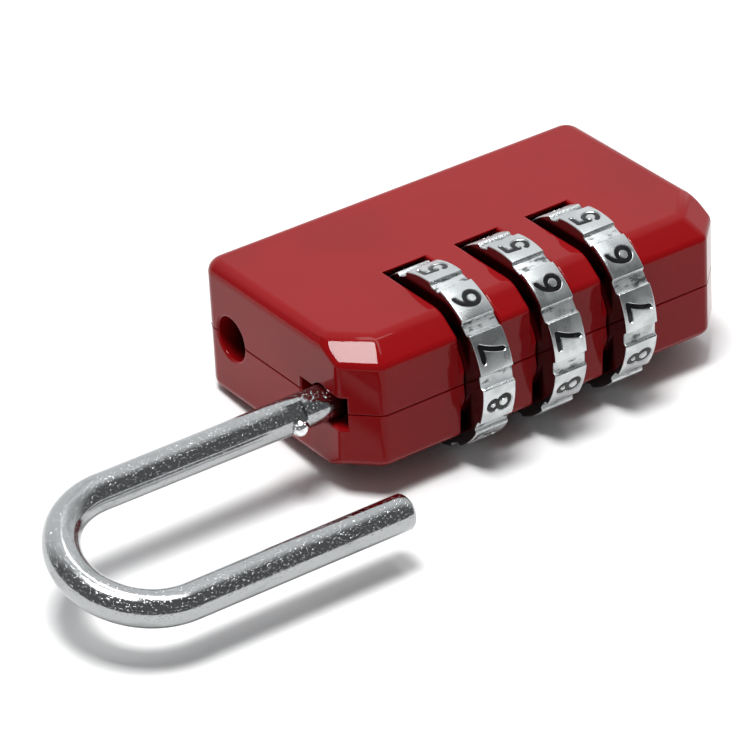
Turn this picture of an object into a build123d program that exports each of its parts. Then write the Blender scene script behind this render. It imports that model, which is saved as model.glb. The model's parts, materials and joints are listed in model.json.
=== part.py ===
from build123d import *
import math
import os

os.makedirs("parts", exist_ok=True)

# Luggage combination padlock, in millimetres, lying flat with +Z up.
# It is drawn in the case's own frame: x = 0 is the shackle end of the case, y = 0 the middle
# of its width with the dials towards -Y, and z = 0 its lower face. The written frame has its
# origin below the middle of the whole lock, on the level of the dials' lowest points.

# Case
case_length = 37.4
case_width = 21.6
case_height = 12.0
back_corner_radius = 1.6
front_corner_cut = 2.6
bevel_inset = 2.15  # dial-side bevel, measured across the upper or lower face
bevel_drop = 1.6  # the same bevel, measured down the side
edge_round = 1.2
parting_groove = 0.12
corner_wall = 0.7  # between the cut corner and the end of the hubs' bore

# Shackle
rod_diameter = 3.0
leg_spacing = 12.8
leg_from_front = 4.9
straight_outside = 20.6  # from the case's end face to the start of the bow
short_leg_gap = 0.65  # between the short leg's end and the case's end face
leg_beyond_fins = 0.35
short_end_chamfer = 0.4
long_end_chamfer = 0.2
shackle_dip = 16.7  # degrees that the short leg hangs below the plane of the legs' holes
peg_diameter = 1.4
peg_reach = 2.15  # from the long leg's axis to the top of the peg
peg_root = 0.9  # from the axis back into the leg
peg_from_case = 3.0
peg_round = 0.4
peg_flat_depth = 0.24
peg_flat_turn = 52.0

# Holes in the shackle end
rod_clearance = 0.1
socket_clearance = 0.4
socket_spare = 1.15  # depth left beyond the short leg when the shackle is in
mouth_round = 0.25
front_key_reach = 2.75
front_key_height = 2.8
back_key_reach = 2.9
back_key_height = 2.0
key_end_play = 0.3

# Dials
dial_count = 3
dial_diameter = 14.8
dial_width = 3.14
dial_pitch = 7.1
first_dial_x = 10.4
dial_rim_chamfer = 0.12
digit_count = 10
valley_radius = 1.15  # hollow between two pads
valley_depth = 0.32
dial_rest_turns = (-8.0, 2.5, 2.5)  # degrees from the 5 at the very top, towards the front
top_digit = 5
dial_side_gap = 0.5
dial_edge_gap = 0.4
boss_wall = 1.0
boss_play = 0.05

# Digits
digit_height = 2.45
digit_width = 1.7
stroke_width = 0.42
lower_bowl_share = 0.92  # of half the width between the outer strokes
upper_bowl_share = 0.8
engraving_depth = 0.25
enamel_depth = 0.13

# Hubs, and how they mesh with the dials
hub_bore_diameter = 8.0
hub_tooth_height = 0.65
hub_wall = 0.8
hub_play = 0.07
hub_end_play = 0.05
hub_lead = 2.0  # how far a hub starts before its dial
tooth_length = 1.0
tooth_start = 0.1
tooth_width = 1.15
tooth_play = 0.05
tooth_root_play = 0.1
collar_gap = 0.66  # between a dial's far side and its hub's collar
collar_length = 0.85
gate_wall = 0.9
gate_play = 0.15
code_change_travel = 2.2

# Fins on the long leg
chamber_play = 0.15
fin_width = 0.8
fin_length = 1.0
fin_play = 0.05

# Washers and springs
washer_thickness = 0.76
reset_washer_clearance = 0.5
face_play = 0.02
guide_head_undercut = 0.05  # how much smaller than the rod the guide's head is, in radius
guide_head = 0.58
guide_stem_diameter = 1.3
guide_stem = 1.6
shackle_spring_diameter = 2.2
shackle_spring_wire = 0.35
shackle_spring_pitch = 2.4
reset_spring_clearance = 0.65
reset_spring_wire = 0.5
reset_spring_pitch = 1.3

# Detent spring
leaf_thickness = 0.25
leaf_gap = 0.9  # from the dials' rims back to the leaf
leaf_width = 2.2
leaf_low = 1.1
leaf_foot = 1.5
leaf_rise = 3.6  # from the dials' axis up to the fingers' ends
leaf_bump = 3.0
leaf_play = 0.03
leaf_pocket_back = 0.9
detent_play = 0.04

# Pins that hold the halves together
case_pin_diameter = 1.8
case_pin_length = 5.2
case_pin_spots = ((3.8, 1.0), (10.5, 7.4), (27.0, 7.4), (34.0, 2.2))

# Worked out from the sizes above
rod_radius = rod_diameter / 2
dial_radius = dial_diameter / 2
axis_y = leg_from_front - case_width / 2
axis_z = case_height / 2
socket_y = axis_y + leg_spacing
socket_radius = rod_radius + socket_clearance
reach_out = straight_outside + leg_spacing / 2 + rod_radius
dip = math.radians(shackle_dip)
index_turn = dial_rest_turns[-1]
digit_step = 360 / digit_count
first_hub_x = first_dial_x - hub_lead
hub_length = dial_pitch - hub_end_play
hub_seat_x = first_hub_x - washer_thickness - 2 * face_play
hub_bore_radius = hub_bore_diameter / 2
running_radius = hub_bore_radius - hub_play
hub_body_radius = hub_bore_radius - hub_tooth_height
chamber_radius = hub_body_radius - hub_wall
fin_reach = chamber_radius - chamber_play
pocket_radius = dial_radius + dial_edge_gap
front_wall = leg_from_front - hub_bore_radius
end_wall = front_corner_cut - front_wall + math.sqrt(2) * corner_wall
bore_end = case_length - end_wall
first_fin_x = first_hub_x + fin_play
hubs_end = first_hub_x + (dial_count - 1) * dial_pitch + hub_length
long_leg_inside = first_fin_x + (dial_count - 1) * dial_pitch + fin_length + leg_beyond_fins
shackle_travel = dial_pitch - fin_length - 2 * fin_play
peg_end_inside = shackle_travel - peg_from_case + peg_diameter / 2
back_key_depth = peg_end_inside + key_end_play
front_key_depth = back_key_depth + code_change_travel
socket_depth = shackle_travel - short_leg_gap + socket_spare
leaf_high = axis_z + leaf_rise
eps = 1.0  # how far a cutter runs past what it cuts

low_y = axis_y - leg_spacing * math.cos(dip) - rod_radius
origin_x = (case_length - reach_out) / 2
origin_y = (low_y + case_width / 2) / 2
origin_z = axis_z - dial_radius
to_lock_frame = Location((-origin_x, -origin_y, -origin_z))


def dial_x(index):
    return first_dial_x + index * dial_pitch


def rod_along_x(radius, start, end, y=axis_y, z=axis_z):
    middle = Location(((start + end) / 2, y, z), (0, 90, 0))
    return middle * Cylinder(radius, end - start)


def tube_along_x(outer, inner, start, end):
    return rod_along_x(outer, start, end) - rod_along_x(inner, start - eps, end + eps)


def block(low, high):
    size = [b - a for a, b in zip(low, high)]
    middle = tuple((a + b) / 2 for a, b in zip(low, high))
    return Location(middle) * Box(*size)


def turned_about_axis(part, degrees):
    """Turn about the dials' axis; positive takes the top towards the front."""
    return part.rotate(Axis((0, axis_y, axis_z), (1, 0, 0)), degrees)


def case_outline():
    plan = Location((case_length / 2, 0)) * Rectangle(case_length, case_width)
    back = plan.vertices().group_by(Axis.Y)[-1]
    plan = fillet(back, back_corner_radius)
    front = plan.vertices().group_by(Axis.Y)[0]
    return chamfer(front, front_corner_cut)


def is_front_edge(edge):
    """The dial-side edge or one of the two cut corners beside it."""
    return edge.center().Y < axis_y


def case_block():
    body = extrude(case_outline(), case_height)
    for side in (Axis.Z, -Axis.Z):
        face = body.faces().sort_by(side)[-1]
        front = [edge for edge in face.edges() if is_front_edge(edge)]
        body = chamfer(front, bevel_inset, bevel_drop, reference=face)
    for side in (Axis.Z, -Axis.Z):
        face = body.faces().sort_by(side)[-1]
        back = [edge for edge in face.edges() if not is_front_edge(edge)]
        body = fillet(back, edge_round)
    band = extrude(case_outline(), parting_groove)
    core = extrude(offset(case_outline(), -parting_groove), parting_groove)
    return body - Location((0, 0, axis_z - parting_groove / 2)) * (band - core)


def dial_pocket(index):
    start = dial_x(index) - dial_side_gap
    end = dial_x(index) + dial_width + dial_side_gap
    pocket = rod_along_x(pocket_radius, start, end)
    boss = hub_bore_radius + boss_wall
    left = rod_along_x(boss, start, dial_x(index) - boss_play)
    right = rod_along_x(boss, dial_x(index) + dial_width + boss_play, end)
    return pocket - left - right


def key_slot(side, reach, height, depth):
    low = (-eps, min(axis_y, axis_y + side * reach), axis_z - height / 2)
    high = (depth, max(axis_y, axis_y + side * reach), axis_z + height / 2)
    return block(low, high)


def mouth(radius, y):
    """Rounded lip of a hole in the shackle end, as a cutter."""
    cone = Location((mouth_round / 2, y, axis_z), (0, 90, 0))
    return cone * Cone(radius + mouth_round, radius, mouth_round)


def leaf_y():
    return axis_y + dial_radius + leaf_gap


def leaf_span():
    middle = dial_width / 2
    start = dial_x(0) + middle - leaf_width / 2
    end = dial_x(dial_count - 1) + middle + leaf_width / 2
    return start, end


def leaf_pocket():
    start, end = leaf_span()
    start -= leaf_play
    end += leaf_play
    slot_front = leaf_y() - leaf_play
    slot_back = leaf_y() + leaf_thickness + leaf_play
    foot_top = leaf_low + leaf_foot
    slot = block((start, slot_front, leaf_low - leaf_play), (end, slot_back, foot_top + eps))
    room_front = axis_y + dial_radius
    room_back = leaf_y() + leaf_thickness + leaf_pocket_back
    room = block((start, room_front, foot_top), (end, room_back, leaf_high + leaf_play))
    return slot + room


def case_pins():
    pins = []
    for x, y in case_pin_spots:
        pin = Cylinder(case_pin_diameter / 2, case_pin_length)
        pins += (Location((x, y, axis_z)) * pin).solids()
    return Compound(pins)


def case_with_holes():
    body = case_block()
    bore_radius = rod_radius + rod_clearance
    body -= rod_along_x(bore_radius, -eps, hub_seat_x + eps)
    body -= rod_along_x(hub_bore_radius, hub_seat_x, bore_end)
    body -= rod_along_x(socket_radius, -eps, socket_depth, y=socket_y)
    body -= mouth(socket_radius, socket_y)
    body -= mouth(bore_radius, axis_y)
    body -= key_slot(-1, front_key_reach, front_key_height, front_key_depth)
    body -= key_slot(1, back_key_reach, back_key_height, back_key_depth)
    for index in range(dial_count):
        body -= dial_pocket(index)
    body -= leaf_pocket()
    for pin in case_pins().solids():
        body -= pin
    return body


def case_half(body, upper):
    low = axis_z if upper else -eps
    high = case_height + eps if upper else axis_z
    half = block((-eps, -case_width, low), (case_length + eps, case_width, high))
    return body & half


def fin(index):
    start = first_fin_x + index * dial_pitch
    low = (start, axis_y - fin_width / 2, axis_z + rod_radius / 2)
    high = (start + fin_length, axis_y + fin_width / 2, axis_z + fin_reach)
    return block(low, high) & rod_along_x(fin_reach, start, start + fin_length)


def peg():
    """The peg before it is turned: it points at the short leg, towards -Y."""
    middle_y = axis_y - (peg_reach - peg_root) / 2
    place = Location((-peg_from_case, middle_y, axis_z), (90, 0, 0))
    body = place * Cylinder(peg_diameter / 2, peg_reach + peg_root)
    outer = body.edges().sort_by(Axis.Y)[0]
    return fillet(outer, peg_round)


def peg_flat():
    half = peg_diameter / 2
    low = (-peg_from_case - half, axis_y - rod_diameter, axis_z - rod_radius)
    high = (-peg_from_case + half, axis_y - rod_radius + peg_flat_depth, axis_z + rod_radius)
    return turned_about_axis(block(low, high), -peg_flat_turn)


def shackle():
    bow_x = -straight_outside
    far_y = axis_y - leg_spacing
    long_leg = Line((long_leg_inside, axis_y, axis_z), (bow_x, axis_y, axis_z))
    bow_tip = (bow_x - leg_spacing / 2, (axis_y + far_y) / 2, axis_z)
    bow = ThreePointArc((bow_x, axis_y, axis_z), bow_tip, (bow_x, far_y, axis_z))
    short_leg = Line((bow_x, far_y, axis_z), (-short_leg_gap, far_y, axis_z))
    path = Wire([long_leg, bow, short_leg])
    section = Plane(origin=long_leg @ 0, z_dir=long_leg % 0) * Circle(rod_radius)
    body = sweep(section, path=path)
    ends = body.edges().filter_by(GeomType.CIRCLE).group_by(Axis.X)
    body = chamfer(ends[-1], long_end_chamfer)
    short_end = body.faces().filter_by(Plane.YZ).sort_by(Axis.Y)[0]
    body = chamfer(short_end.edges(), short_end_chamfer)
    body -= peg_flat()
    for index in range(dial_count):
        body += fin(index)
    return turned_about_axis(body - peg(), shackle_dip)


def shackle_peg():
    return turned_about_axis(peg(), shackle_dip)


def stroke(line):
    return SlotArc(line, stroke_width)


def polyline_strokes(*points):
    strokes = [stroke(Line(start, end)) for start, end in zip(points, points[1:])]
    return Sketch() + strokes


def ring(middle, width_radius, height_radius):
    half = stroke_width / 2
    outer = Ellipse(width_radius + half, height_radius + half)
    inner = Ellipse(width_radius - half, height_radius - half)
    return Location(middle) * (outer - inner)


def digit(value):
    """One digit of single strokes with round ends, in the middle of the XY plane."""
    right = (digit_width - stroke_width) / 2
    top = (digit_height - stroke_width) / 2
    lower = right * lower_bowl_share
    upper = right * upper_bowl_share
    low = (0, lower - top)
    high = (0, top - upper)
    if value == 0:
        return ring((0, 0), right, top)
    if value == 1:
        return polyline_strokes((-right / 2, top / 2), (0, top), (0, -top))
    if value == 2:
        hook = CenterArc(high, upper, 180, -210)
        return stroke(hook) + polyline_strokes(hook @ 1, (-right, -top), (right, -top))
    if value == 3:
        return stroke(CenterArc(high, upper, 150, -240)) + stroke(CenterArc(low, lower, 90, -240))
    if value == 4:
        stem_top = (right / 3, top)
        bar_y = -top / 3
        angle = polyline_strokes(stem_top, (-right, bar_y), (right, bar_y))
        return angle + polyline_strokes(stem_top, (right / 3, -top))
    if value == 5:
        belly = CenterArc(low, lower, 135, -290)
        return stroke(belly) + polyline_strokes(belly @ 0, (-right / 2, top), (right, top))
    if value == 6:
        tail = ThreePointArc((-lower, low[1]), (-right / 2, top / 2), (right / 2, top))
        return ring(low, lower, lower) + stroke(tail)
    if value == 7:
        stem = ThreePointArc((right, top), (right / 4, 0), (-right / 6, -top))
        return polyline_strokes((-right, top), (right, top)) + stroke(stem)
    if value == 8:
        cap = top - lower
        return ring(low, lower, lower) + ring((0, top - cap), cap, cap)
    return Rotation(0, 0, 180) * digit(6)


def digit_solids(index, floor_radius, depth):
    """The ten digits of one dial as solids that stand outward from floor_radius."""
    solids = []
    for value in range(digit_count):
        turn = math.radians(dial_rest_turns[index] + digit_step * (value - top_digit))
        outward = Vector(0, -math.sin(turn), math.cos(turn))
        reading_right = Vector(0, math.cos(turn), math.sin(turn))
        foot = Vector(dial_x(index) + dial_width / 2, axis_y, axis_z) + outward * floor_radius
        place = Plane(origin=foot, x_dir=reading_right, z_dir=outward)
        solids += extrude(place * digit(value), depth, dir=outward).solids()
    return solids


def numerals(index):
    return Compound(digit_solids(index, dial_radius - engraving_depth, enamel_depth))


def spline_slots(index):
    """The gaps between the dial's inner teeth."""
    start = dial_x(index) - eps
    end = dial_x(index) + tooth_start + tooth_length + tooth_play
    half = tooth_width / 2 + tooth_play
    slot = block((start, axis_y - half, axis_z), (end, axis_y + half, axis_z + hub_bore_radius))
    return [turned_about_axis(slot, digit_step * step) for step in range(digit_count)]


def dial(index):
    start = dial_x(index)
    end = start + dial_width
    rim = rod_along_x(dial_radius, start, end)
    body = chamfer(rim.edges().filter_by(GeomType.CIRCLE), dial_rim_chamfer)
    teeth_end = start + tooth_start + tooth_length + tooth_play
    body -= rod_along_x(hub_body_radius + tooth_root_play, start - eps, end + eps)
    body -= rod_along_x(hub_bore_radius + tooth_play, teeth_end, end + eps)
    for slot in spline_slots(index):
        body -= slot
    for step in range(digit_count):
        turn = dial_rest_turns[index] + digit_step * (step + 0.5)
        valley_z = axis_z + dial_radius - valley_depth + valley_radius
        valley = rod_along_x(valley_radius, start - eps, end + eps, z=valley_z)
        body -= turned_about_axis(valley, turn)
    for engraved in digit_solids(index, dial_radius - engraving_depth, engraving_depth + eps):
        body -= engraved
    return body


def hub(index):
    start = first_hub_x + index * dial_pitch
    end = start + hub_length
    face = dial_x(index)
    body = rod_along_x(hub_body_radius, start, end)
    collar_start = face + dial_width + collar_gap
    body += rod_along_x(running_radius, collar_start, collar_start + collar_length)
    teeth_start = face + tooth_start
    reach = running_radius - tooth_play
    half = tooth_width / 2
    tooth = block(
        (teeth_start, axis_y - half, axis_z + chamber_radius),
        (teeth_start + tooth_length, axis_y + half, axis_z + reach + eps),
    )
    tooth &= rod_along_x(reach, teeth_start, teeth_start + tooth_length)
    for step in range(digit_count):
        body += turned_about_axis(tooth, digit_step * step)
    body -= rod_along_x(chamber_radius, start - eps, face)
    body -= rod_along_x(chamber_radius, face + gate_wall, end + eps)
    body -= rod_along_x(rod_radius + rod_clearance, start - eps, end + eps)
    gate_half = fin_width / 2 + gate_play
    gate = block((start, axis_y - gate_half, axis_z), (end, axis_y + gate_half, axis_z + chamber_radius))
    return body - turned_about_axis(gate, shackle_dip)


def stop_washer():
    start = hub_seat_x + face_play
    inner = rod_radius + rod_clearance
    return tube_along_x(running_radius, inner, start, start + washer_thickness)


def reset_washer():
    start = hubs_end + face_play
    inner = rod_radius + reset_washer_clearance
    return tube_along_x(running_radius, inner, start, start + washer_thickness)


def coil(mean_radius, wire, pitch, start, end):
    length = end - start - wire
    line = Helix(pitch, length, mean_radius)
    section = Plane(origin=line @ 0, z_dir=line % 0) * Circle(wire / 2)
    spring = sweep(section, path=line, is_frenet=True)
    return Location((start + wire / 2, axis_y, axis_z), (0, 90, 0)) * spring


def spring_guide():
    start = long_leg_inside + face_play
    head_end = start + guide_head
    head = rod_along_x(rod_radius - guide_head_undercut, start, head_end)
    return head + rod_along_x(guide_stem_diameter / 2, head_end, head_end + guide_stem)


def shackle_spring():
    start = long_leg_inside + face_play + guide_head + face_play
    mean_radius = shackle_spring_diameter / 2
    return coil(mean_radius, shackle_spring_wire, shackle_spring_pitch, start, bore_end)


def reset_spring():
    start = hubs_end + washer_thickness + 2 * face_play
    mean_radius = hub_bore_radius - reset_spring_clearance - reset_spring_wire / 2
    return coil(mean_radius, reset_spring_wire, reset_spring_pitch, start, bore_end)


def detent_finger(index):
    """One finger, with a bump that rests in a valley of its dial or, part-turned, on a pad."""
    hollow = valley_depth if dial_rest_turns[index] == index_turn else 0
    touch = dial_radius - hollow + detent_play
    bump_z = axis_z + touch * math.sin(math.radians(index_turn))
    bump_y = axis_y + touch
    middle_x = dial_x(index) + dial_width / 2
    plane = Plane(origin=(middle_x, 0, 0), x_dir=(0, 1, 0), z_dir=(1, 0, 0))
    front = leaf_y()
    back = front + leaf_thickness
    outline = Polyline(
        (front, leaf_low + leaf_foot),
        (front, bump_z - leaf_bump / 2),
        (bump_y, bump_z),
        (front, bump_z + leaf_bump / 2),
        (front, leaf_high),
        (back, leaf_high),
        (back, bump_z + leaf_bump / 2),
        (bump_y + leaf_thickness, bump_z),
        (back, bump_z - leaf_bump / 2),
        (back, leaf_low + leaf_foot),
        close=True,
    )
    return extrude(plane * make_face(outline), leaf_width / 2, both=True)


def detent_spring():
    start, end = leaf_span()
    low = (start, leaf_y(), leaf_low)
    high = (end, leaf_y() + leaf_thickness, leaf_low + leaf_foot)
    strip = block(low, high)
    for index in range(dial_count):
        strip += detent_finger(index)
    return strip


def write(name, part):
    export_step(Compound(part.solids()).moved(to_lock_frame), f"parts/{name}.step")


case_body = case_with_holes()
write("upper_case", case_half(case_body, upper=True))
write("lower_case", case_half(case_body, upper=False))
write("case_pins", case_pins())
write("shackle", shackle())
write("shackle_peg", shackle_peg())
write("spring_guide", spring_guide())
write("shackle_spring", shackle_spring())
write("stop_washer", stop_washer())
write("reset_washer", reset_washer())
write("reset_spring", reset_spring())
write("detent_spring", detent_spring())
for number in range(dial_count):
    write(f"dial_{number + 1}", dial(number))
    write(f"numerals_{number + 1}", numerals(number))
    write(f"hub_{number + 1}", hub(number))
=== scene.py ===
# Luggage combination padlock: red lacquered case, three number wheels, chromed shackle drawn out.
# Pieces are shaped in millimetres in the case's own frame (x from the shackle end, y across with
# the wheels towards -Y, z up from the lower face) and are then set down in the lock's frame.
import bmesh
import bpy
import json
from math import atan2, cos, degrees, pi, radians, sin, sqrt, tan
from mathutils import Euler, Matrix, Vector

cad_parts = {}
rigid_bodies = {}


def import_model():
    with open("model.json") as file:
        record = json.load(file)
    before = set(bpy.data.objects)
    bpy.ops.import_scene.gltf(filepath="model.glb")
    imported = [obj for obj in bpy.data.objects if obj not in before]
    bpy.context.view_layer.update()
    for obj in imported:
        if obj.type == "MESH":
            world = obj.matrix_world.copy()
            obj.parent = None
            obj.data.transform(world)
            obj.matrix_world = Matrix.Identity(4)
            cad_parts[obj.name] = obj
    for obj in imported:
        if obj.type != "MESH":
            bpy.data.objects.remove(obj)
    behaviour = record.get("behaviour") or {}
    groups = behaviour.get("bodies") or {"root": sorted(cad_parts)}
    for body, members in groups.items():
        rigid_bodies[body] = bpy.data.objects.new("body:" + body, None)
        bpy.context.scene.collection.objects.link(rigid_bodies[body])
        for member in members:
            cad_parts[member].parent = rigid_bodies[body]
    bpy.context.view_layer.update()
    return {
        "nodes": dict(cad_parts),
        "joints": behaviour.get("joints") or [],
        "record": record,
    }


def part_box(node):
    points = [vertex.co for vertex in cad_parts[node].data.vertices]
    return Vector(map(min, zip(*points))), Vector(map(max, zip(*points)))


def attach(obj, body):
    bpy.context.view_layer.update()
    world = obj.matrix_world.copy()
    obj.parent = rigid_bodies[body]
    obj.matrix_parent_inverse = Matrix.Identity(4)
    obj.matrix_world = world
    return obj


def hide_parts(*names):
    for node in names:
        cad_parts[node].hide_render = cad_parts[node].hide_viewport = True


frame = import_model()
joints = {joint["name"]: joint for joint in frame["joints"]}
mounts = {mount["name"]: mount for mount in frame["record"]["mounts"]}
print("frame loaded:", len(frame["nodes"]), "nodes")

mm = 0.001
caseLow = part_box("lower_case")[0]
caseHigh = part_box("upper_case")[1]
caseFoot = Vector((caseLow.x, (caseLow.y + caseHigh.y) / 2, caseLow.z))
toLock = Matrix.Translation(caseFoot) @ Matrix.Scale(mm, 4)


def inCase(point):
    return (Vector(point) - caseFoot) / mm


caseLength, caseWidth, caseHeight = (caseHigh - caseLow) / mm
seam = caseHeight / 2
axisY, axisZ = inCase(joints["dial_1_turn"]["pos_m"]).yz
rodRadius = mounts["shackle_pin"]["dims"]["r_mm"]
wheelBodies = ["dial_1", "dial_2", "dial_3"]
wheelStarts = [inCase(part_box(name)[0]).x for name in wheelBodies]
wheelLow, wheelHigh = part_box("dial_1")
wheelWidth = (wheelHigh.x - wheelLow.x) / mm
wheelRadius = (wheelHigh.z - wheelLow.z) / mm / 2


# shaping helpers

def cube(low, high):
    bm = bmesh.new()
    size = Vector(high) - Vector(low)
    middle = (Vector(high) + Vector(low)) / 2
    place = Matrix.Translation(middle) @ Matrix.Diagonal((*size, 1))
    bmesh.ops.create_cube(bm, size=1, matrix=place)
    return bm


def tidyMesh(bm, distance=1e-4):
    bmesh.ops.remove_doubles(bm, verts=bm.verts, dist=distance)
    bmesh.ops.recalc_face_normals(bm, faces=bm.faces)
    return bm


def revolve(profile, steps, closed=False, y=None, z=None):
    # profile holds (x, radius) points; it turns about a line along X
    y = axisY if y is None else y
    z = axisZ if z is None else z
    bm = bmesh.new()
    points = [bm.verts.new((x, y, z + radius)) for x, radius in profile]
    edges = [bm.edges.new(pair) for pair in zip(points, points[1:])]
    if closed:
        edges.append(bm.edges.new((points[-1], points[0])))
    bmesh.ops.spin(bm, geom=points + edges, cent=(0, y, z), axis=(1, 0, 0), angle=2 * pi,
                   steps=steps, use_merge=True)
    return tidyMesh(bm)


def rod(radius, start, end, steps=64, y=None, z=None):
    return revolve([(start, 0), (start, radius), (end, radius), (end, 0)], steps, y=y, z=z)


def join(target, other):
    mesh = bpy.data.meshes.new("joined")
    other.to_mesh(mesh)
    target.from_mesh(mesh)
    bpy.data.meshes.remove(mesh)
    other.free()


def looseObject(bm, name):
    mesh = bpy.data.meshes.new(name)
    bm.to_mesh(mesh)
    bm.free()
    thing = bpy.data.objects.new(name, mesh)
    bpy.context.scene.collection.objects.link(thing)
    return thing


def applied(thing):
    # the object's mesh with its modifiers worked in
    graph = bpy.context.evaluated_depsgraph_get()
    return bpy.data.meshes.new_from_object(thing.evaluated_get(graph))


def backToBmesh(mesh):
    bm = bmesh.new()
    bm.from_mesh(mesh)
    bpy.data.meshes.remove(mesh)
    return bm


def discard(thing):
    mesh = thing.data
    bpy.data.objects.remove(thing)
    bpy.data.meshes.remove(mesh)


def combine(bm, others, operation):
    # boolean of one mesh with several others; the others' faces are numbered 1
    for other in others:
        for face in other.faces:
            face.material_index = 1
    body = looseObject(bm, "blank")
    tools = bpy.data.collections.new("tools")
    for number, other in enumerate(others):
        tool = looseObject(other, f"tool{number}")
        bpy.context.scene.collection.objects.unlink(tool)
        tools.objects.link(tool)
    bpy.context.scene.collection.children.link(tools)
    change = body.modifiers.new("cut", "BOOLEAN")
    change.operand_type = "COLLECTION"
    change.collection = tools
    change.operation = operation
    change.solver = "EXACT"
    result = backToBmesh(applied(body))
    for tool in list(tools.objects):
        discard(tool)
    bpy.data.collections.remove(tools)
    discard(body)
    return result


def softened(bm, roundOf, steps):
    # rounds each edge by the width roundOf gives it, all in one go
    weights = bm.edges.layers.float.new("bevel_weight_edge")
    widths = {edge: roundOf(edge) for edge in bm.edges if len(edge.link_faces) == 2}
    widest = max(widths.values())
    for edge, width in widths.items():
        edge[weights] = width / widest
    thing = looseObject(bm, "softening")
    change = thing.modifiers.new("round", "BEVEL")
    change.limit_method = "WEIGHT"
    change.width = widest
    change.segments = steps
    change.use_clamp_overlap = False
    result = backToBmesh(applied(thing))
    discard(thing)
    return result


def finishPiece(bm, name, body, material, replaces, sharpAngle=40, place=None):
    for face in bm.faces:
        face.smooth = True
        face.material_index = 0
    for edge in bm.edges:
        edge.smooth = len(edge.link_faces) == 2 and edge.calc_face_angle() < radians(sharpAngle)
    bm.transform(toLock @ place if place else toLock)
    piece = looseObject(bm, name)
    piece.data.materials.append(material)
    evenNormals = piece.modifiers.new("evenNormals", "WEIGHTED_NORMAL")
    evenNormals.keep_sharp = True
    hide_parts(replaces)
    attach(piece, body)
    print("piece:", name, len(piece.data.polygons), "faces")


# materials

class Wire:
    # one socket of a material, so that sums on it read as sums
    def __init__(self, tree, socket=None):
        self.tree = tree
        self.socket = socket

    def add(self, kind, settings=None, values=None, out=0):
        node = self.tree.nodes.new(kind)
        for key, setting in (settings or {}).items():
            setattr(node, key, setting)
        for key, value in (values or {}).items():
            if isinstance(value, Wire):
                self.tree.links.new(value.socket, node.inputs[key])
            else:
                node.inputs[key].default_value = value
        return Wire(self.tree, node.outputs[out])

    def maths(self, operation, first, second):
        return self.add("ShaderNodeMath", {"operation": operation}, {0: first, 1: second})

    def __add__(self, other):
        return self.maths("ADD", self, other)

    def __sub__(self, other):
        return self.maths("SUBTRACT", self, other)

    def __mul__(self, other):
        return self.maths("MULTIPLY", self, other)

    def __rsub__(self, other):
        return self.maths("SUBTRACT", other, self)

    __radd__ = __add__
    __rmul__ = __mul__

    def between(self, low, high):
        # 0 below low, 1 above high, smooth on the way
        settings = {"interpolation_type": "SMOOTHSTEP"}
        return self.add("ShaderNodeMapRange", settings, {0: self, 1: low, 2: high})

    def mixed(self, first, second):
        # self is the share of the second colour
        first = first if isinstance(first, Wire) else (*first, 1)
        second = second if isinstance(second, Wire) else (*second, 1)
        return self.add("ShaderNodeMix", {"data_type": "RGBA"}, {0: self, 6: first, 7: second}, 2)

    def stretched(self, x, y, z):
        return self.add("ShaderNodeVectorMath", {"operation": "MULTIPLY"}, {0: self, 1: (x, y, z)})

    def noise(self, size, detail=2.0, rough=0.5):
        # size is the width of a spot, in metres
        values = {"Vector": self, "Scale": 1 / size, "Detail": detail, "Roughness": rough}
        return self.add("ShaderNodeTexNoise", None, values)

    def bump(self, height, depth):
        values = {"Height": height, "Distance": depth, "Strength": 1.0}
        if self.socket:
            values["Normal"] = self
        return self.add("ShaderNodeBump", None, values)


def newMaterial(name):
    material = bpy.data.materials.new(name)
    material.use_nodes = True
    tree = material.node_tree
    tree.nodes.clear()
    here = Wire(tree)
    place = here.add("ShaderNodeTexCoord", None, None, "Object")
    return material, here, place


def attribute(here, name, out="Fac"):
    # a value stored on the vertices of the piece
    return here.add("ShaderNodeAttribute", {"attribute_name": name}, None, out)


def output(here, values):
    shader = here.add("ShaderNodeBsdfPrincipled", None, values)
    node = here.tree.nodes.new("ShaderNodeOutputMaterial")
    here.tree.links.new(shader.socket, node.inputs["Surface"])


lacquer = dict(red=(0.215, 0.0028, 0.0042), deepRed=(0.19, 0.0024, 0.0038),
               holeShade=(0.012, 0.006, 0.007), gloss=0.05, ior=1.24,
               peelSize=0.0021, peelDepth=0.0000022, dustSize=0.00035)


def redLacquer():
    # inside is 0 on the outer faces and rises to 1 on the walls deep in the case's holes, where the
    # colour turns near black as painted shade
    material, here, place = newMaterial("redLacquer")
    cloud = place.noise(0.009, 3).between(0.35, 0.68)
    dust = place.noise(lacquer["dustSize"], 4, 0.7).between(0.55, 0.8)
    colour = cloud.mixed(lacquer["red"], lacquer["deepRed"])
    # painted shade: deep in the holes the lacquer's colour gives way to near black
    colour = attribute(here, "inside").between(0.0, 0.5).mixed(colour, lacquer["holeShade"])
    roughness = lacquer["gloss"] + 0.02 * cloud + 0.04 * dust
    peel = here.bump(place.noise(lacquer["peelSize"], 1.5), lacquer["peelDepth"])
    fine = peel.bump(place.noise(0.0006, 2), 0.0000004)
    output(here, {"Base Color": colour, "Roughness": roughness, "Normal": fine, "IOR": lacquer["ior"]})
    return material


# the peg's near-white chrome is a painted highlight
chrome = dict(bright=(0.40, 0.41, 0.415), dull=(0.24, 0.25, 0.25), pegGlareWhite=(0.92, 0.93, 0.94),
              roughness=0.09)


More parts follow.
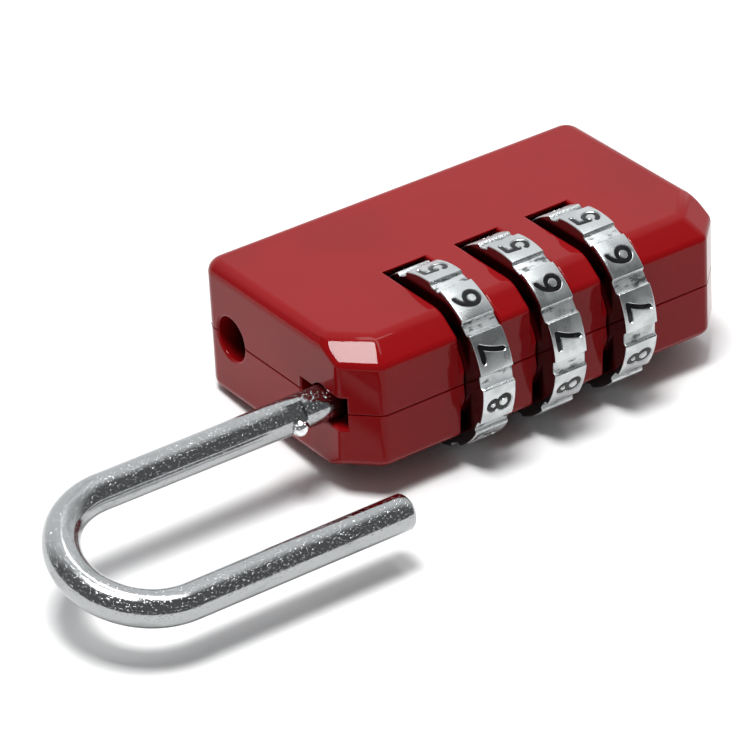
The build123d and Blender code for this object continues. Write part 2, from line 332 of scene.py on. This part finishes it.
def chromedRod():
    # rodPlace is the surface's place with the shackle's bend straightened out, in metres
    material, here = newMaterial("chromedRod")[:2]
    straight = attribute(here, "rodPlace", "Vector")
    drawn = straight.stretched(0.035, 1, 1).noise(0.00022, 3, 0.6)
    streak = straight.stretched(0.12, 1, 1).noise(0.0005, 2)
    waves = straight.stretched(0.5, 1, 1).noise(0.0024, 1)
    pits = straight.stretched(0.6, 1, 1).noise(0.00016, 2, 0.6)
    patches = straight.stretched(0.3, 1, 1).noise(0.0035, 2).between(0.42, 0.62)
    stain = straight.stretched(0.25, 1, 1).noise(0.0011, 3, 0.6).between(0.5, 0.75)
    colour = (0.65 * stain).mixed(chrome["bright"], chrome["dull"])
    # painted highlight: the peg's chrome is made near white so its dome shows as a blown highlight
    colour = attribute(here, "pegGlare").mixed(colour, chrome["pegGlareWhite"])
    roughness = chrome["roughness"] + 0.10 * streak * patches + 0.05 * stain
    normal = here.bump(waves, 0.00003).bump(drawn, 0.0000022).bump(streak, 0.000004)
    glints = straight.stretched(0.7, 1, 1).noise(0.00014, 1).between(0.60, 0.70)
    normal = normal.bump(pits, 0.0000032).bump(glints, 0.000012)
    output(here, {"Base Color": colour, "Roughness": roughness, "Metallic": 1.0, "Normal": normal})
    return material


# side is a dark grey for the wheel's sides in the case's slots: painted shade
wheelMetal = dict(bright=(0.56, 0.58, 0.585), grey=(0.36, 0.38, 0.385), smear=(0.035, 0.037, 0.04),
                  side=(0.17, 0.165, 0.17))


def castWheel():
    # hollow is 0 on a pad and 1 on the floor between two pads; tread is 0 on the wheel's sides, which are
    # painted dark as shade
    material, here, place = newMaterial("castWheel")
    hollow = attribute(here, "hollow")
    flank = 4 * hollow * (1 - hollow)
    lines = place.stretched(0.06, 1, 1).noise(0.00011, 3, 0.65)
    grain = place.noise(0.00013, 3, 0.6)
    lumps = place.noise(0.0007, 2)
    smear = place.stretched(0.5, 1, 1).noise(0.0006, 3, 0.6).between(0.50, 0.66)
    worn = place.noise(0.0016, 3).between(0.4, 0.65)
    colour = (0.75 * worn * (0.3 + 0.5 * lines)).mixed(wheelMetal["bright"], wheelMetal["grey"])
    colour = (smear * hollow * 0.85).mixed(colour, wheelMetal["smear"])
    tread = attribute(here, "tread")
    # painted shade: the wheel's sides, sunk in the case's slots, are painted dark grey
    colour = tread.mixed(wheelMetal["side"], colour)
    roughness = 0.14 + tread * (0.10 + 0.18 * worn + 0.16 * hollow - 0.10 * flank)
    normal = here.bump(lumps * tread, 0.00001).bump(grain * tread, 0.0000075)
    normal = normal.bump(lines * hollow, 0.00003).bump(grain * flank, 0.00005)
    output(here, {"Base Color": colour, "Roughness": roughness, "Metallic": 1.0, "Normal": normal})
    return material


enamel = dict(black=(0.006, 0.006, 0.007), grey=(0.014, 0.014, 0.016), gloss=0.06, ior=1.3)


def blackEnamel():
    material, here, place = newMaterial("blackEnamel")
    ripple = place.noise(0.0003, 2)
    shade = place.noise(0.0012, 2).between(0.4, 0.7)
    colour = shade.mixed(enamel["black"], enamel["grey"])
    output(here, {"Base Color": colour, "Roughness": enamel["gloss"] + 0.12 * shade,
                  "IOR": enamel["ior"], "Normal": here.bump(ripple, 0.000012)})
    return material


# metals inside the case, by material slot; along is the stretch of the turning or drawing marks
innerMetals = {
    "hub_brass": dict(name="hubBrass", colour=(0.70, 0.52, 0.25), dark=(0.30, 0.20, 0.08),
                      roughness=0.24, along=(1, 0.1, 0.1), grain=0.0002),
    "spring_steel": dict(name="springSteel", colour=(0.46, 0.47, 0.49), dark=(0.2, 0.2, 0.21),
                         roughness=0.3, along=(1, 1, 1), grain=0.0002),
    "leaf_steel": dict(name="leafSteel", colour=(0.5, 0.5, 0.5), dark=(0.2, 0.2, 0.2),
                       roughness=0.32, along=(0.06, 1, 1), grain=0.0002),
    "pin_steel": dict(name="pinSteel", colour=(0.6, 0.6, 0.62), dark=(0.3, 0.3, 0.3),
                      roughness=0.2, along=(1, 1, 0.1), grain=0.0001),
    "washer_steel": dict(name="washerSteel", colour=(0.58, 0.58, 0.6), dark=(0.3, 0.3, 0.3),
                         roughness=0.3, along=(0.3, 1, 1), grain=0.0002),
}


def innerMetal(look):
    # a metal with a film of oil
    material, here, place = newMaterial(look["name"])
    marks = place.stretched(*look["along"]).noise(look["grain"], 3, 0.6)
    film = place.noise(0.0018, 3).between(0.4, 0.65)
    shade = (0.7 * film * marks).mixed(look["colour"], look["dark"])
    output(here, {"Base Color": shade, "Roughness": look["roughness"] + 0.2 * film, "Metallic": 1.0,
                  "Normal": here.bump(marks, 0.000004)})
    return material


lacquerMaterial = redLacquer()
chromeMaterial = chromedRod()
wheelMaterial = castWheel()
enamelMaterial = blackEnamel()
innerFinishes = {slot: innerMetal(look) for slot, look in innerMetals.items()}
print("materials made")


# case

caseShape = dict(backCorner=1.6, frontCut=2.6, bevelIn=2.15, bevelDown=1.6, topRound=1.2, topSteps=8,
                 softRidge=0.8, ridgeSteps=4, ridgeRound=0.38, slotRound=0.26, seamRound=0.13,
                 roundSteps=4, roundFrom=24)
# each key is (reach from the axis, height, depth) of the notch beside the long leg's hole
caseHoles = dict(slotGap=0.5, slotRadius=wheelRadius + 0.4, bossRadius=5.0, bossGap=0.05, bossBite=0.5,
                 hubBore=4.0, hubBoreStart=7.6, hubBoreEnd=caseLength - 2.69,
                 rodBore=rodRadius + 0.1, socketRadius=rodRadius + 0.4, socketDepth=6.5,
                 socketY=6.9, frontKey=(2.75, 2.8, 6.2), backKey=(2.9, 2.0, 4.0),
                 # litDepth and fadeDepth: how deep in a hole the painted shade begins, and how far it
                 # takes to turn near black
                 litDepth=0.9, fadeDepth=1.2, slotSteps=120, boreSteps=64, legSteps=48)


def caseBlank(upper):
    # half a block with cut corners and bevels on the wheel side
    sign = 1 if upper else -1
    low = (0, -caseWidth / 2, seam if upper else 0)
    high = (caseLength, caseWidth / 2, caseHeight if upper else seam)
    bm = cube(low, high)
    upright = [edge for edge in bm.edges if abs(edge.verts[0].co.z - edge.verts[1].co.z) > 1]
    front = [edge for edge in upright if edge.verts[0].co.y < 0]
    back = [edge for edge in upright if edge.verts[0].co.y > 0]
    bmesh.ops.bevel(bm, geom=front, offset=caseShape["frontCut"], segments=1, profile=0.5,
                    affect="EDGES", material=-1)
    bmesh.ops.bevel(bm, geom=back, offset=caseShape["backCorner"], segments=caseShape["topSteps"],
                    profile=0.5, affect="EDGES", material=-1)
    level = caseHeight if upper else 0
    rim = [edge for edge in bm.edges if all(abs(vert.co.z - level) < 1e-4 for vert in edge.verts)
           and max(vert.co.y for vert in edge.verts) > caseShape["frontCut"] - caseWidth / 2 + 0.1]
    bmesh.ops.bevel(bm, geom=rim, offset=caseShape["topRound"], segments=caseShape["topSteps"],
                    profile=0.5, affect="EDGES", material=-1)
    # the bevels, each run into the flat face by a few narrow facets on a wide soft ridge
    fullTurn = atan2(caseShape["bevelDown"], caseShape["bevelIn"])
    ridgeRadius = caseShape["softRidge"] / tan(fullTurn / 2)
    cutHalf = caseShape["frontCut"] / 2
    sides = [
        (Vector((0, -1, 0)), Vector((0, -caseWidth / 2, level))),
        (Vector((-1, -1, 0)).normalized(), Vector((cutHalf, cutHalf - caseWidth / 2, level))),
        (Vector((1, -1, 0)).normalized(),
         Vector((caseLength - cutHalf, cutHalf - caseWidth / 2, level))),
    ]
    upward = Vector((0, 0, sign))
    for outward, foot in sides:
        centre = foot - outward * (caseShape["bevelIn"] + caseShape["softRidge"])
        centre -= upward * ridgeRadius
        for step in range(caseShape["ridgeSteps"]):
            turn = fullTurn * (step + 1) / caseShape["ridgeSteps"]
            facing = outward * sin(turn) + upward * cos(turn)
            everything = bm.verts[:] + bm.edges[:] + bm.faces[:]
            cut = bmesh.ops.bisect_plane(bm, geom=everything, dist=1e-5, clear_outer=True,
                                         plane_co=centre + facing * ridgeRadius, plane_no=facing)
            edges = [item for item in cut["geom_cut"] if isinstance(item, bmesh.types.BMEdge)]
            bmesh.ops.contextual_create(bm, geom=edges)
    bmesh.ops.recalc_face_normals(bm, faces=bm.faces)
    for face in bm.faces:
        face.material_index = 2 if face.normal.z * sign < -0.9 else 0  # 2 is the seam
    return bm


def slotCutter(start):
    # a ring that leaves a boss on each side of the wheel
    gap = caseHoles["slotGap"]
    end = start + wheelWidth + gap
    bossIn = caseHoles["bossRadius"]
    inner = caseHoles["hubBore"] - caseHoles["bossBite"]
    left = start - caseHoles["bossGap"]
    right = start + wheelWidth + caseHoles["bossGap"]
    outer = caseHoles["slotRadius"]
    profile = [(start - gap, bossIn), (start - gap, outer), (end, outer), (end, bossIn),
               (right, bossIn), (right, inner), (left, inner), (left, bossIn)]
    return revolve(profile, caseHoles["slotSteps"], closed=True)


def keyCutter(side, reach, height, depth):
    edges = sorted((axisY, axisY + side * reach))
    return cube((-1, edges[0], axisZ - height / 2), (depth, edges[1], axisZ + height / 2))


def caseHalf(upper):
    holes = caseHoles
    cutters = [slotCutter(start) for start in wheelStarts]
    cutters.append(rod(holes["rodBore"], -1, holes["hubBoreStart"] + 1, holes["legSteps"]))
    cutters.append(rod(holes["hubBore"], holes["hubBoreStart"], holes["hubBoreEnd"], holes["boreSteps"]))
    cutters.append(rod(holes["socketRadius"], -1, holes["socketDepth"], holes["legSteps"],
                       y=holes["socketY"]))
    cutters.append(keyCutter(-1, *holes["frontKey"]))
    cutters.append(keyCutter(1, *holes["backKey"]))
    bm = combine(caseBlank(upper), cutters, "DIFFERENCE")
    bmesh.ops.dissolve_limit(bm, angle_limit=radians(0.05), verts=bm.verts, edges=bm.edges,
                             delimit={"MATERIAL"})
    bm = softened(bm, caseRound, caseShape["roundSteps"])
    # how deep each point lies in the case; the lacquer paints shade by it, near black deep in the holes
    inside = bm.verts.layers.float.new("inside")
    for vert in bm.verts:
        x, y, z = vert.co
        deep = min(x, caseLength - x, caseWidth / 2 - abs(y), z, caseHeight - z)
        vert[inside] = min(max((deep - holes["litDepth"]) / holes["fadeDepth"], 0), 1)
    name, node = ("upperShell", "upper_case") if upper else ("lowerShell", "lower_case")
    finishPiece(bm, name, "case", lacquerMaterial, node)


def caseRound(edge):
    # how wide an edge of the case is rounded, by what its two faces are: outer, cut or seam
    if edge.calc_face_angle() < radians(caseShape["roundFrom"]):
        return 0.0
    kinds = sorted(face.material_index for face in edge.link_faces)
    if kinds == [0, 2]:
        return caseShape["seamRound"]
    if kinds == [0, 1]:
        return caseShape["slotRound"]
    return caseShape["ridgeRound"] if kinds == [0, 0] else 0.0


caseHalf(True)
caseHalf(False)


# wheels

wheelShape = dict(pads=10, padHalf=12.6, flank=1.7, floorDepth=0.25, dish=0.06, rimRound=0.14,
                  steps=480, bore=3.45, wideBore=4.05, toothEnd=1.15, toothHalf=0.625,
                  toothFoot=2.6, toothTop=4.03, sideTop=0.55, pressedBand=0.3, treadBand=0.52,
                  topDigit=5, restTurns=(-8.0, 2.5, 2.5))
digitShape = dict(height=2.45, width=1.7, stroke=0.42, lower=0.92, upper=0.8,
                  grooveRadius=0.31, grooveLift=0.14, enamelDrop=0.075, enamelFoot=6.6, arcSteps=20,
                  endTurns=(35, 60, 78))


def hollowAt(angle):
    # 0 on a pad, 1 on the floor of the hollow between two pads
    pitch = 360 / wheelShape["pads"]
    away = abs((angle + pitch / 2) % pitch - pitch / 2)
    share = min(max((away - wheelShape["padHalf"]) / wheelShape["flank"], 0), 1)
    return share * share * (3 - 2 * share)


def dishAt(angle):
    # 1 in the middle of a hollow, 0 at the foot of its flanks
    pitch = 360 / wheelShape["pads"]
    away = abs(angle % pitch - pitch / 2)
    half = pitch / 2 - wheelShape["padHalf"]
    return max(1 - (away / half) ** 2, 0)


def wheelBlank():
    # ring with a rounded rim, and its hollows pressed in
    width, radius, rim = wheelWidth, wheelRadius, wheelShape["rimRound"]
    bore, wideBore, toothEnd = (wheelShape[key] for key in ("bore", "wideBore", "toothEnd"))
    turns = [radians(90 * step / 4) for step in range(5)]
    left = [(rim - rim * cos(turn), radius - rim + rim * sin(turn)) for turn in turns]
    right = [(width - x, r) for x, r in reversed(left)]
    sideTop = radius - wheelShape["sideTop"]
    profile = [(0, bore), (0, sideTop), *left, *right, (width, sideTop), (width, wideBore),
               (toothEnd, wideBore), (toothEnd, bore)]
    bm = revolve(profile, wheelShape["steps"], closed=True, y=0, z=0)
    for vert in bm.verts:
        away = sqrt(vert.co.y ** 2 + vert.co.z ** 2)
        if away > radius - wheelShape["pressedBand"]:
            angle = degrees(atan2(-vert.co.y, vert.co.z))
            deep = wheelShape["floorDepth"] * hollowAt(angle) + wheelShape["dish"] * dishAt(angle)
            scale = (away - deep) / away
            vert.co.y *= scale
            vert.co.z *= scale
    return bm


def arc(x, y, radius, start, sweep):
    count = digitShape["arcSteps"]
    turns = [radians(start + sweep * step / count) for step in range(count + 1)]
    return [(x + radius * cos(turn), y + radius * sin(turn)) for turn in turns]


def bowed(start, middle, end):
    # smooth curve through three points
    count = digitShape["arcSteps"]
    points = []
    for step in range(count + 1):
        t = step / count
        weighed = list(zip(((1 - t) * (1 - 2 * t), 4 * t * (1 - t), t * (2 * t - 1)),
                           (start, middle, end)))
        points.append(tuple(sum(weight * point[k] for weight, point in weighed) for k in (0, 1)))
    return points


def digitStrokes(value):
    # centre lines of one digit, upright, in the middle of its pad
    right = (digitShape["width"] - digitShape["stroke"]) / 2
    top = (digitShape["height"] - digitShape["stroke"]) / 2
    lower, upper = right * digitShape["lower"], right * digitShape["upper"]
    low, high = lower - top, top - upper
    if value == 0:
        return [[(right * cos(radians(t * 12)), top * sin(radians(t * 12))) for t in range(31)]]
    if value == 1:
        return [[(-right / 2, top / 2), (0, top)], [(0, top), (0, -top)]]
    if value == 2:
        hook = arc(0, high, upper, 180, -210)
        return [hook, [hook[-1], (-right, -top)], [(-right, -top), (right, -top)]]
    if value == 3:
        return [arc(0, high, upper, 150, -240), arc(0, low, lower, 90, -240)]
    if value == 4:
        head, left, barRight = (right / 3, top), (-right, -top / 3), (right, -top / 3)
        return [[head, left], [left, barRight], [head, (right / 3, -top)]]
    if value == 5:
        belly = arc(0, low, lower, 135, -290)
        return [belly, [belly[0], (-right / 2, top)], [(-right / 2, top), (right, top)]]
    if value == 6:
        return [arc(0, low, lower, 0, 360), bowed((-lower, low), (-right / 2, top / 2), (right / 2, top))]
    if value == 7:
        return [[(-right, top), (right, top)], bowed((right, top), (right / 4, 0), (-right / 6, -top))]
    if value == 8:
        cap = top - lower
        return [arc(0, low, lower, 0, 360), arc(0, top - cap, cap, 0, 360)]
    return [[(-x, -y) for x, y in line] for line in digitStrokes(6)]


def addStroke(curve, line):
    # a round-ended tube; a line that ends where it starts becomes a ring
    ring = (Vector(line[0]) - Vector(line[-1])).length < 1e-4
    if ring:
        points = [(x, y, 1.0) for x, y in line[:-1]]
    else:
        radius = digitShape["grooveRadius"]
        points = [(x, y, 1.0) for x, y in line]
        for end, inward in ((0, 1), (-1, -2)):
            tip = Vector(line[end])
            outward = (tip - Vector(line[inward])).normalized() * radius
            for turn in digitShape["endTurns"]:
                far = tip + outward * sin(radians(turn))
                cap = (far.x, far.y, cos(radians(turn)))
                if end == 0:
                    points.insert(0, cap)
                else:
                    points.append(cap)
    spline = curve.splines.new("POLY")
    spline.points.add(len(points) - 1)
    for slot, (x, y, size) in zip(spline.points, points):
        slot.co = (x, y, 0, 1)
        slot.radius = size
    spline.use_cyclic_u = ring


def wrappedStroke(line, value):
    # one stroke of a digit as a tube wrapped round the wheel
    curve = bpy.data.curves.new("stroke", "CURVE")
    curve.dimensions = "3D"
    curve.bevel_depth = digitShape["grooveRadius"]
    curve.bevel_resolution = 3
    curve.use_fill_caps = True
    addStroke(curve, line)
    thing = bpy.data.objects.new("stroke", curve)
    bpy.context.scene.collection.objects.link(thing)
    tube = tidyMesh(backToBmesh(applied(thing)), 1e-3)
    bpy.data.objects.remove(thing)
    bpy.data.curves.remove(curve)
    turn = radians(360 / wheelShape["pads"] * (value - wheelShape["topDigit"]))
    for vert in tube.verts:
        angle = turn - vert.co.x / wheelRadius
        away = wheelRadius + digitShape["grooveLift"] + vert.co.z
        vert.co = (wheelWidth / 2 - vert.co.y, -sin(angle) * away, cos(angle) * away)
    bmesh.ops.recalc_face_normals(tube, faces=tube.faces)
    return tube


def strokeTubes():
    tubes = [wrappedStroke(line, value) for value in range(wheelShape["pads"])
             for line in digitStrokes(value)]
    return combine(tubes[0], tubes[1:], "UNION")


def toothCutters():
    # the gaps between the wheel's inner teeth, cut a little past them at both ends
    half = wheelShape["toothHalf"]
    low = (-0.5, -half, wheelShape["toothFoot"])
    high = (wheelShape["toothEnd"] + 0.2, half, wheelShape["toothTop"])
    gaps = bmesh.new()
    for step in range(wheelShape["pads"]):
        gap = cube(low, high)
        gap.transform(Matrix.Rotation(radians(360 / wheelShape["pads"] * step), 4, "X"))
        join(gaps, gap)
    return gaps


wheelMaster = combine(wheelBlank(), [toothCutters()], "DIFFERENCE")
digitTubes = strokeTubes()
wheelMaster = combine(wheelMaster, [digitTubes.copy()], "DIFFERENCE")
enamelFoot = digitShape["enamelFoot"]
enamelTop = wheelRadius - digitShape["enamelDrop"]
enamelBand = revolve([(0, enamelFoot), (0, enamelTop), (wheelWidth, enamelTop), (wheelWidth, enamelFoot)],
                     wheelShape["steps"], closed=True, y=0, z=0)
enamelMaster = combine(enamelBand, [digitTubes], "INTERSECT")
print("wheel cut:", len(wheelMaster.faces), "faces")

for number, body in enumerate(wheelBodies):
    turn = Matrix.Rotation(radians(wheelShape["restTurns"][number]), 4, "X")
    place = Matrix.Translation((wheelStarts[number], axisY, axisZ)) @ turn
    wheel = wheelMaster.copy()
    hollow = wheel.verts.layers.float.new("hollow")
    tread = wheel.verts.layers.float.new("tread")
    for vert in wheel.verts:
        inner = 1e-3 < vert.co.x < wheelWidth - 1e-3
        away = sqrt(vert.co.y ** 2 + vert.co.z ** 2)
        outer = inner and away > wheelRadius - wheelShape["treadBand"]
        vert[hollow] = hollowAt(degrees(atan2(-vert.co.y, vert.co.z))) if outer else 0.0
        # tread is 0 on the sides, where the wheel is painted dark as shade
        vert[tread] = 1.0 if inner else 0.0
    finishPiece(wheel, f"numberWheel{number + 1}", body, wheelMaterial, body, 30, place)
    finishPiece(enamelMaster.copy(), f"enamelDigits{number + 1}", body, enamelMaterial,
                f"numerals_{number + 1}", 30, place)


# shackle

shackleShape = dict(inside=24.0, straight=20.6, spacing=12.8, shortGap=0.65, dip=16.7, steps=72,
                    bowSteps=64, longRings=60, shortRings=28, shortChamfer=0.4, longChamfer=0.2,
                    crownShare=0.45, crownCap=0.9, flatDepth=0.24, flatTurn=-52, flatHalf=0.7,
                    fins=3, finFoot=0.8, finReach=2.4, finWidth=0.8, finLength=1.0, finBevel=0.08,
                    firstFin=8.45, finPitch=7.1)
pegShape = dict(fromCase=3.0, radius=0.7, reach=2.15, dome=0.55, root=0.6, foot=0.35, neck=0.14,
                lip=0.07, steps=40)


def dipped(bm):
    # hangs the shackle by its angle below the plane of the two holes
    turn = Matrix.Rotation(radians(shackleShape["dip"]), 4, "X")
    pivot = Matrix.Translation((0, axisY, axisZ))
    bm.transform(pivot @ turn @ pivot.inverted())
    return bm


def pushOn(bm, edges, shift, scale=1.0):
    # carries an open rim on by one more ring and gives back the new rim
    grown = bmesh.ops.extrude_edge_only(bm, edges=edges)["geom"]
    verts = [item for item in grown if isinstance(item, bmesh.types.BMVert)]
    middle = sum((vert.co for vert in verts), Vector()) / len(verts)
    for vert in verts:
        vert.co = middle + (vert.co - middle) * scale + Vector(shift)
    return [item for item in grown if isinstance(item, bmesh.types.BMEdge)]


def shackleRod():
    # the long leg from its inner end, the bow, and the short leg to its crowned end
    shape = shackleShape
    bm = bmesh.new()
    narrow = (rodRadius - shape["longChamfer"]) / rodRadius
    start = Matrix.Translation((shape["inside"], axisY, axisZ)) @ Matrix.Rotation(pi / 2, 4, "Y")
    bmesh.ops.create_circle(bm, cap_ends=True, segments=shape["steps"], radius=rodRadius * narrow,
                            matrix=start)
    edges = pushOn(bm, bm.edges[:], (-shape["longChamfer"], 0, 0), 1 / narrow)
    straight = shape["inside"] - shape["longChamfer"] + shape["straight"]
    for ring in range(shape["longRings"]):
        edges = pushOn(bm, edges, (-straight / shape["longRings"], 0, 0))
    bend = bmesh.ops.spin(bm, geom=edges, cent=(-shape["straight"], axisY - shape["spacing"] / 2, axisZ),
                          axis=(0, 0, 1), angle=pi, steps=shape["bowSteps"])
    edges = [item for item in bend["geom_last"] if isinstance(item, bmesh.types.BMEdge)]
    straight = shape["straight"] - shape["shortGap"] - shape["shortChamfer"]
    for ring in range(shape["shortRings"]):
        edges = pushOn(bm, edges, (straight / shape["shortRings"], 0, 0))
    end = (rodRadius - shape["shortChamfer"]) / rodRadius
    shoulder = 0.5 + 0.5 * (1 + end) / 2
    first = shape["shortChamfer"] * shape["crownShare"]
    edges = pushOn(bm, edges, (first, 0, 0), shoulder)
    edges = pushOn(bm, edges, (shape["shortChamfer"] - first, 0, 0), end / shoulder)
    edges = pushOn(bm, edges, (0, 0, 0), shape["crownCap"])
    bmesh.ops.contextual_create(bm, geom=edges)
    return tidyMesh(bm)


def shacklePiece():
    # the rod with a flat under the peg and the fins that turn with the hubs
    shape = shackleShape
    bm = shackleRod()
    peg = -pegShape["fromCase"]
    flat = cube((peg - shape["flatHalf"], axisY - 3, axisZ - 1.5),
                (peg + shape["flatHalf"], axisY - rodRadius + shape["flatDepth"], axisZ + 1.5))
    pivot = Matrix.Translation((0, axisY, axisZ))
    flat.transform(pivot @ Matrix.Rotation(radians(shape["flatTurn"]), 4, "X") @ pivot.inverted())
    bm = combine(bm, [flat], "DIFFERENCE")
    fins = []
    halfFin = shape["finWidth"] / 2
    for number in range(shape["fins"]):
        start = shape["firstFin"] + number * shape["finPitch"]
        fin = cube((start, axisY - halfFin, axisZ + shape["finFoot"]),
                   (start + shape["finLength"], axisY + halfFin, axisZ + shape["finReach"]))
        bmesh.ops.bevel(fin, geom=fin.edges[:], offset=shape["finBevel"], segments=2, profile=0.5,
                        affect="EDGES", material=-1)
        fins.append(fin)
    bm = combine(bm, fins, "UNION")
    straightened = bm.verts.layers.float_vector.new("rodPlace")
    half = shape["spacing"] / 2
    for vert in bm.verts:
        x, y, z = vert.co
        if x >= -shape["straight"] and y > axisY - half:
            along, across = x, y - axisY
        elif x < -shape["straight"]:
            turn = atan2(-shape["straight"] - x, y - axisY + half)
            along = -shape["straight"] - half * turn
            across = sqrt((x + shape["straight"]) ** 2 + (y - axisY + half) ** 2) - half
        else:
            along = -shape["straight"] * 2 - pi * half - x
            across = axisY - shape["spacing"] - y
        vert[straightened] = Vector((along, across, z - axisZ)) * mm
    finishPiece(dipped(bm), "chromedShackle", "shackle", chromeMaterial, "shackle", 35)


def pegPiece():
    # a domed stub on a thinner root
    shape = pegShape
    dome = [(shape["reach"] - shape["dome"] * (1 - sin(radians(turn))),
             shape["radius"] * cos(radians(turn))) for turn in range(0, 100, 10)]
    domeFoot = shape["reach"] - shape["dome"]
    profile = [(shape["foot"], 0), (shape["foot"], shape["root"]),
               (domeFoot - shape["neck"], shape["root"]), (domeFoot - shape["lip"], shape["radius"]),
               *dome]
    bm = revolve(profile, shape["steps"], y=0, z=0)
    straightened = bm.verts.layers.float_vector.new("rodPlace")
    # marks the peg for the painted highlight in its chrome
    pegGlare = bm.verts.layers.float.new("pegGlare")
    for vert in bm.verts:
        vert[straightened] = vert.co * mm
        vert[pegGlare] = 1.0
    onRod = Matrix.Translation((-shape["fromCase"], axisY, axisZ))
    bm.transform(onRod @ Matrix.Rotation(-pi / 2, 4, "Z"))
    finishPiece(dipped(bm), "guidePeg", "shackle", chromeMaterial, "shackle_peg", 45)


shacklePiece()
pegPiece()


# works inside the case

nodeSlots = {part["node"]: part["material_slot"] for part in frame["record"]["subparts"]}
for name, node in frame["nodes"].items():
    if nodeSlots[name] in innerFinishes:
        node.data.materials.clear()
        node.data.materials.append(innerFinishes[nodeSlots[name]])
print("inner parts finished")


# floor, light and camera

stage = dict(size=1.6, slope=5.26, white=0.80, shade=0.985)


def floorPlane():
    # the lock rests on its wheels and on the lower back edge, so the floor leans in its frame
    slope = radians(stage["slope"])
    touch = Vector((0, axisY, axisZ)) + wheelRadius * Vector((0, sin(slope), -cos(slope)))
    bm = bmesh.new()
    bmesh.ops.create_grid(bm, x_segments=8, y_segments=8, size=stage["size"] / 2)
    bm.transform(Matrix.Translation(toLock @ touch) @ Matrix.Rotation(slope, 4, "X"))
    material, here, place = newMaterial("paperFloor")
    tone = place.noise(0.02, 3)
    colour = tone.mixed((stage["white"],) * 3, (stage["white"] * stage["shade"],) * 3)
    output(here, {"Base Color": colour, "Roughness": 0.9 + 0.05 * tone, "Specular IOR Level": 0.1})
    floor = looseObject(bm, "floor")
    floor.data.materials.append(material)


lights = dict(
    keyLight=dict(place=(-0.075, -0.052, 0.50), size=(0.16, 0.14), power=2.8),
    ridgeLight=dict(place=(0.12, 0.0, 0.49), size=(0.36, 0.09), power=0.5),
)


def areaLight(name, place, size, power):
    # a rectangle that faces the lock
    lamp = bpy.data.lights.new(name, "AREA")
    lamp.shape = "RECTANGLE"
    lamp.size, lamp.size_y = size
    lamp.energy = power
    thing = bpy.data.objects.new(name, lamp)
    thing.location = place
    thing.rotation_euler = (-Vector(place)).to_track_quat("-Z", "Y").to_euler()
    bpy.context.scene.collection.objects.link(thing)


# strength goes from dim to dim + rise where the surroundings turn to face the bright side
studio = dict(brightSide=(0.55, 0.83, 0.35), turnFrom=0.15, turnTo=0.75, dim=0.17, rise=0.93,
              tint=(0.97, 0.985, 1.0))


def studioWorld():
    # bright surroundings behind the lock, dimmer overhead and behind the camera
    world = bpy.data.worlds.new("studio")
    world.use_nodes = True
    tree = world.node_tree
    tree.nodes.clear()
    here = Wire(tree)
    way = here.add("ShaderNodeTexCoord", None, None, "Generated")
    unit = tuple(Vector(studio["brightSide"]).normalized())
    facing = here.add("ShaderNodeVectorMath", {"operation": "DOT_PRODUCT"}, {0: way, 1: unit}, "Value")
    strength = studio["dim"] + studio["rise"] * facing.between(studio["turnFrom"], studio["turnTo"])
    light = here.add("ShaderNodeBackground", None, {"Color": (*studio["tint"], 1), "Strength": strength})
    node = tree.nodes.new("ShaderNodeOutputWorld")
    tree.links.new(light.socket, node.inputs["Surface"])
    bpy.context.scene.world = world


# the camera's place is in millimetres in the case's frame, its turns in degrees
view = dict(lens=224.7, place=(-171.46, -270.10, 195.23), turns=(59.269, 2.673, -35.355))


def camera():
    data = bpy.data.cameras.new("camera")
    data.lens = view["lens"]
    data.clip_start, data.clip_end = 0.01, 10
    thing = bpy.data.objects.new("camera", data)
    thing.location = toLock @ Vector(view["place"])
    thing.rotation_euler = Euler([radians(turn) for turn in view["turns"]])
    bpy.context.scene.collection.objects.link(thing)
    bpy.context.scene.camera = thing


floorPlane()
studioWorld()
for name, light in lights.items():
    areaLight(name, **light)
camera()
bpy.context.scene.view_settings.view_transform = "Standard"
print("floor, lights and camera set")
